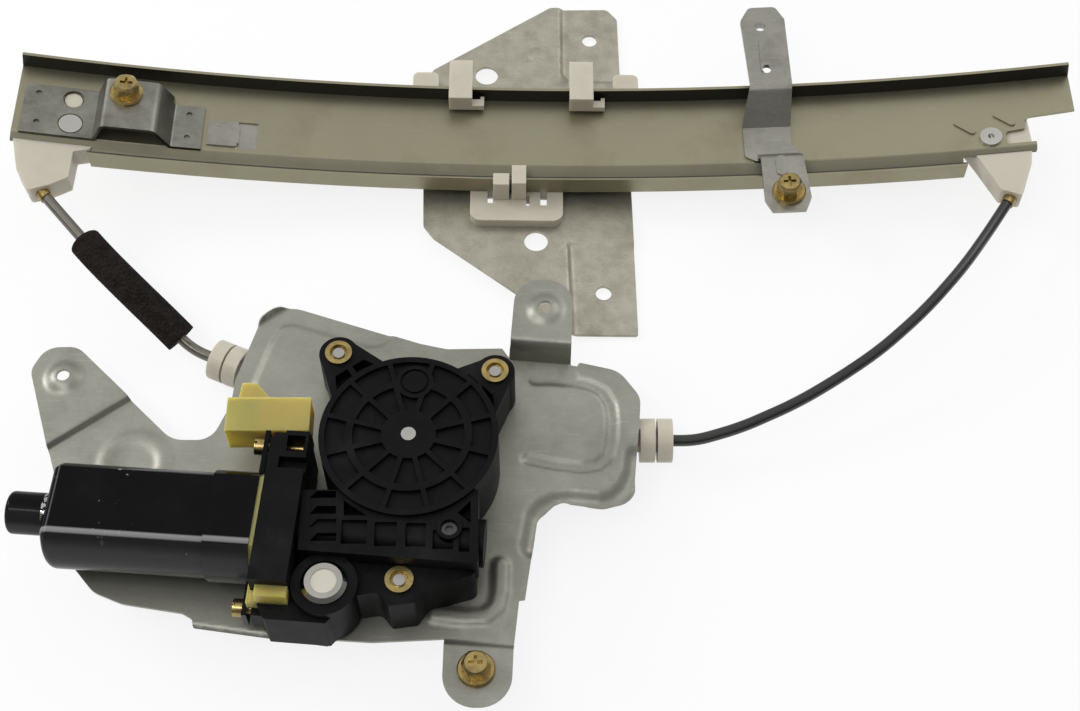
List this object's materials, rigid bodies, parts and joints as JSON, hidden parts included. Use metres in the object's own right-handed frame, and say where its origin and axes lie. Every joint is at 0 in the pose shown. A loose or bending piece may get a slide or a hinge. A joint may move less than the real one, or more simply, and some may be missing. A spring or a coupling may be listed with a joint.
{
  "type": "window regulator",
  "caption": "Cable window regulator for a car door: a bowed guide rail with its glass carrier, a cable drum on a pressed plate, and a worm-gear motor with cable conduits",
  "frame": {"origin": "centre of the drum housing's flat back, on the drum's axis", "axes": "+X along the guide rail, away from the motor; +Y from the motor towards the rail; +Z along the drum's axis, from the housing's back towards the motor side"},
  "size_m": [0.489, 0.3775, 0.0594],
  "materials": {
    "rail_steel": "satin",
    "strap_steel": "satin",
    "spring_steel": "satin",
    "bolt_zinc": "polished",
    "white_plastic": "satin",
    "rivet_steel": "polished",
    "brass": "polished",
    "left_conduit_skin": "satin",
    "right_conduit_skin": "gloss",
    "foam": "matte",
    "cable_steel": "satin",
    "plate_zinc": "satin",
    "black_plastic": "satin",
    "drum_plastic": "satin",
    "damper_rubber": "matte",
    "hub_steel": "satin",
    "cap_chrome": "polished",
    "plug_white": "satin",
    "case_screw_steel": "satin",
    "yoke_paint": "gloss",
    "magnet": "matte",
    "core_steel": "satin",
    "copper": "satin",
    "bearing_bronze": "satin",
    "ivory_plastic": "satin",
    "carbon": "matte",
    "brush_spring": "satin",
    "terminal": "polished"
  },
  "bodies": {
    "frame": {"guide_rail": "rail_steel", "rail_left_bracket": "strap_steel", "rail_stop_clip": "spring_steel", "rail_strap_upper": "strap_steel", "rail_strap_lower": "strap_steel", "mounting_bolts": "bolt_zinc", "left_cable_guide": "white_plastic", "right_cable_guide": "white_plastic", "guide_rivets": "rivet_steel", "conduit_bushes": "brass", "left_conduit": "left_conduit_skin", "right_conduit": "right_conduit_skin", "foam_sleeve": "foam", "left_conduit_cap": "white_plastic", "right_conduit_cap": "white_plastic", "lift_cable": "cable_steel", "base_plate": "plate_zinc", "drum_housing": "black_plastic", "drum_cover": "black_plastic", "gear_housing": "black_plastic", "gear_cover": "black_plastic", "wheel_pin": "hub_steel", "fixing_studs": "rivet_steel", "fixing_collars": "brass", "vent_cap": "cap_chrome", "vent_plug": "plug_white", "case_screw": "case_screw_steel", "yoke_screws": "brass", "motor_yoke": "yoke_paint", "field_magnets": "magnet", "shaft_bearings": "bearing_bronze", "brush_card": "ivory_plastic", "carbon_brushes": "carbon", "brush_springs": "brush_spring", "connector_housing": "ivory_plastic", "connector_terminals": "terminal"},
    "carrier": {"carrier_plate": "plate_zinc", "upper_slider": "white_plastic", "lower_slider": "white_plastic", "slider_rivets": "rivet_steel", "cable_anchor": "black_plastic", "cable_nipples": "brass"},
    "drum": {"cable_drum": "drum_plastic", "wound_cable": "cable_steel", "output_hub": "hub_steel", "drive_damper": "damper_rubber", "worm_wheel": "drum_plastic"},
    "armature": {"worm_shaft": "hub_steel", "armature_core": "core_steel", "armature_windings": "copper", "commutator": "copper"}
  },
  "joints": [
    {"name": "carrier_travel", "type": "hinge", "parent": "frame", "child": "carrier", "pos_m": [0.075, 0.18, 1.3454], "axis": [0, 1, 0], "range_deg": [-6, 5.8]},
    {"name": "drum_turn", "type": "hinge", "parent": "frame", "child": "drum", "pos_m": [0, 0, 0.03], "axis": [0, 0, 1], "range_deg": [-371, 383]},
    {"name": "motor_turn", "type": "hinge", "parent": "frame", "child": "armature", "pos_m": [-0.06275, -0.0353, 0.043], "axis": [0.9973, -0.0732, 0], "range_deg": [-24364, 25204]}
  ],
  "couplings": [
    {"joint": "drum_turn", "follows": "carrier_travel", "ratio": -63.643},
    {"joint": "motor_turn", "follows": "carrier_travel", "ratio": -4200.4}
  ]
}
